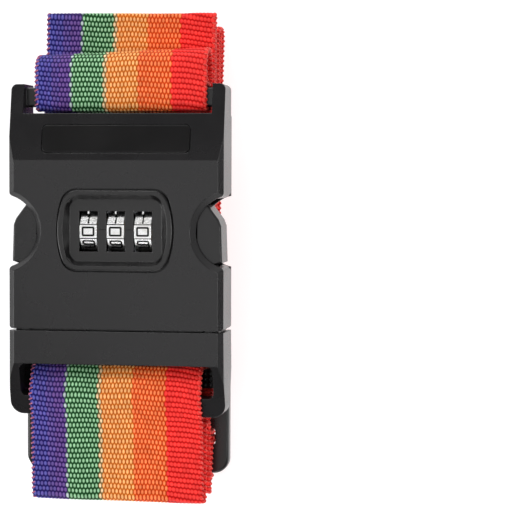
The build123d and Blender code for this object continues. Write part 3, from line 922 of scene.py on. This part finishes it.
for wheel in (1, 2, 3):
    low, high = (np.array(v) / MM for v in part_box(f"number_wheel_{wheel}"))
    wheel_x = (low[0] + high[0]) / 2
    bm = bmesh.new()
    for digit, strokes in digit_strokes.items():
        to_point = facet_placer(wheel_x, digit)
        width, height = digit_one_size if digit == 1 else digit_size
        for stroke in strokes:
            line = [((px - 0.5) * width, (py - 0.5) * height) for px, py in stroke]
            stroke_mesh(bm, line, digit_stroke, to_point)
        # Painted shade: a dark strip along the corner between this facet and the next, standing in for the
        # shaded groove there.
        to_corner = facet_placer(wheel_x, digit + 0.5)
        corner_rise = dial_radius * (1 / math.cos(math.pi / facet_count) - 1) - stroke_sink
        half_wheel = (high[0] - low[0]) / 2 - corner_line_inset
        stroke_mesh(
            bm,
            [(-half_wheel, 0.0), (half_wheel, 0.0)],
            corner_line_width,
            lambda a, b, c: to_corner(a, b, c + corner_rise),
        )
    digits = bmesh_object(f"digits_{wheel}", bm, ink_and_painted_shade)
    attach(digits, f"dial_{wheel}")

# The reset button's spring, which shortens as the button is pressed, drawn as a coil of wire fixed to the
# housing.
spring_wire_radius = 0.18
spring_turn_pitch = 1.4
spring_low, spring_high = (np.array(v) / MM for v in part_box("reset_spring"))
spring_middle = (spring_low + spring_high) / 2
spring_radius = (spring_high[0] - spring_low[0]) / 2 - spring_wire_radius
spring_travel = spring_high[2] - spring_low[2] - 2 * spring_wire_radius
spring_angle = np.linspace(0, 2 * math.pi * spring_travel / spring_turn_pitch, 240)
spring_line = np.stack(
    [
        spring_middle[0] + spring_radius * np.cos(spring_angle),
        spring_middle[1] + spring_radius * np.sin(spring_angle),
        spring_low[2] + spring_wire_radius + spring_travel * spring_angle / spring_angle[-1],
    ],
    axis=-1,
)
coil_vertices, coil_faces = tube(spring_line * MM, spring_wire_radius, 10)
reset_coil = mesh_object("reset_coil", coil_vertices.tolist(), coil_faces, spring_steel)
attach(reset_coil, "housing")
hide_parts("reset_spring")
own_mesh(reset_coil)

# Marks on the bezel's floor: a white peg at the top of each window, whose white is a painted highlight
# standing in for a glint there, and fine dark lines between the windows at the height where the code is read,
# which are painted shade standing in for a shallow engraved line.
bezel_floor_z = 29.8
window_half_width = 2.65
window_half_height = 5.6
peg_size = (0.46, 0.95, 0.42)
peg_reach = 0.75
index_line_width = 0.14
index_line_gap = 0.1
index_line_rise = 0.5
peg_sink = 0.1
peg_corner = 0.15


def glint_white_material():
    g = Graph("painted_glint_white")
    patch = g.noise(g.place(), 2400.0, 3.0)
    # The pegs' white is a painted highlight standing in for a glint at the top of each window.
    colour = g.mix(g.span(patch, 0.35, 0.7), (0.80, 0.80, 0.78, 1), (0.92, 0.92, 0.91, 1))
    normal = g.bump(patch, 0.00001, 0.4)
    return g.set(Base_Color=colour, Roughness=g.span(patch, 0.3, 0.7, 0.35, 0.5), Normal=normal)


def bezel_piece(name, bm, material):
    """A mark made from a bmesh, fixed to the bezel: the pegs, whose white is a painted highlight, or the dark
    index lines, which are painted shade.
    """
    obj = bmesh_object(name, bm, material)
    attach(obj, "housing")


wheel_centres = [
    (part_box(f"number_wheel_{n}")[0][0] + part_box(f"number_wheel_{n}")[1][0]) / 2 / MM for n in (1, 2, 3)
]
window_top_y = dial_axis[1] + window_half_height
bm = bmesh.new()
for x in wheel_centres:
    peg = bmesh.ops.create_cube(bm, size=MM)["verts"]
    for vertex in peg:
        vertex.co.x = vertex.co.x * peg_size[0] + x * MM
        vertex.co.y = vertex.co.y * peg_size[1] + (window_top_y - peg_reach + peg_size[1] / 2) * MM
        vertex.co.z = vertex.co.z * peg_size[2] + (bezel_floor_z - peg_sink - peg_size[2] / 2) * MM
bmesh.ops.bevel(bm, geom=list(bm.edges), offset=peg_corner * MM, segments=3, affect="EDGES", profile=0.5)
bezel_piece("glint_pegs", bm, glint_white_material())

bm = bmesh.new()
for left, right in zip(wheel_centres, wheel_centres[1:]):
    clear = window_half_width + index_line_gap
    span = [(left + clear, 0.0), (right - clear, 0.0)]
    stroke_mesh(
        bm,
        span,
        index_line_width,
        lambda a, b, c: Vector((a, dial_axis[1] + index_line_rise + b, bezel_floor_z + 0.4 * c)) * MM,
    )
# Painted shade: the index lines are dark strips standing in for the shade of a shallow engraved line.
bezel_piece("index_lines", bm, ink_and_painted_shade)

# ---------------------------------------------------------------- floor, light, camera


def floor_material():
    g = Graph("studio_floor")
    soft = g.noise(g.place(), 3.0, 2.0)
    colour = g.mix(g.span(soft, 0.3, 0.7), (0.46, 0.46, 0.46, 1), (0.48, 0.48, 0.48, 1))
    g.shader.inputs["Emission Color"].default_value = (1.0, 1.0, 1.0, 1.0)
    return g.set(Base_Color=colour, Roughness=0.8, Specular_IOR_Level=0.1, Emission_Strength=0.75)


floor_reach = 4.0
floor_drop = 0.0001
floor = mesh_object(
    "studio_floor",
    [(sx * floor_reach, sy * floor_reach, -floor_drop) for sx, sy in ((-1, -1), (1, -1), (1, 1), (-1, 1))],
    [(0, 1, 2, 3)],
    floor_material(),
)

world = bpy.data.worlds.new("studio")
scene.world = world
world.use_nodes = True
background = world.node_tree.nodes["Background"]
background.inputs["Color"].default_value = (1.0, 1.0, 1.0, 1.0)

# The studio's wall is white up to a little above the horizon and grey higher up.
wall_top = 0.13
wall_fade = 0.26
wall_strength = 0.95
ceiling_strength = 0.11
sky = world.node_tree
direction = sky.nodes.new("ShaderNodeTexCoord")
sky_parts = sky.nodes.new("ShaderNodeSeparateXYZ")
fade = sky.nodes.new("ShaderNodeMapRange")
fade.interpolation_type = "SMOOTHSTEP"
for socket, number in zip(fade.inputs[1:5], (wall_top, wall_fade, wall_strength, ceiling_strength)):
    socket.default_value = number
sky.links.new(direction.outputs["Generated"], sky_parts.inputs[0])
sky.links.new(sky_parts.outputs[2], fade.inputs[0])
sky.links.new(fade.outputs[0], background.inputs["Strength"])


def softbox(name, location, target, size, radiance):
    """A rectangular soft light, given by the brightness of its face."""
    light = bpy.data.lights.new(name, "AREA")
    light.shape = "RECTANGLE"
    light.size, light.size_y = size
    light.energy = radiance * math.pi * size[0] * size[1]
    lamp = bpy.data.objects.new(name, light)
    scene.collection.objects.link(lamp)
    lamp.location = location
    aim = Vector(target) - Vector(location)
    lamp.rotation_euler = aim.to_track_quat("-Z", "Y").to_euler()


softbox("overhead_panel", (-0.14, -0.08, 1.2), (0, 0, 0), (0.80, 0.44), 1.07)
softbox("key_top", (-0.25, 1.28, 0.96), (0, 0, 0), (1.3, 0.4), 8.2)
softbox("fill_left", (-1.05, -0.15, 0.9), (0, 0, 0), (0.4, 0.9), 6.3)
softbox("fill_right", (0.95, 0.0, 1.05), (0, 0, 0), (0.36, 0.8), 6.3)
softbox("fill_low", (0.1, -1.2, 0.62), (0, 0, 0), (0.9, 0.34), 5.6)

camera_data = bpy.data.cameras.new("camera")
camera_data.lens = 127.0
camera_data.sensor_width = 36.0
camera_data.clip_start = 0.01
camera = bpy.data.objects.new("camera", camera_data)
scene.collection.objects.link(camera)
camera.location = (0.1154, 0.0216, 0.525)
camera.rotation_euler = (math.radians(-2.5), math.radians(8.62), math.radians(0.21))
scene.camera = camera

scene.view_settings.view_transform = "Standard"
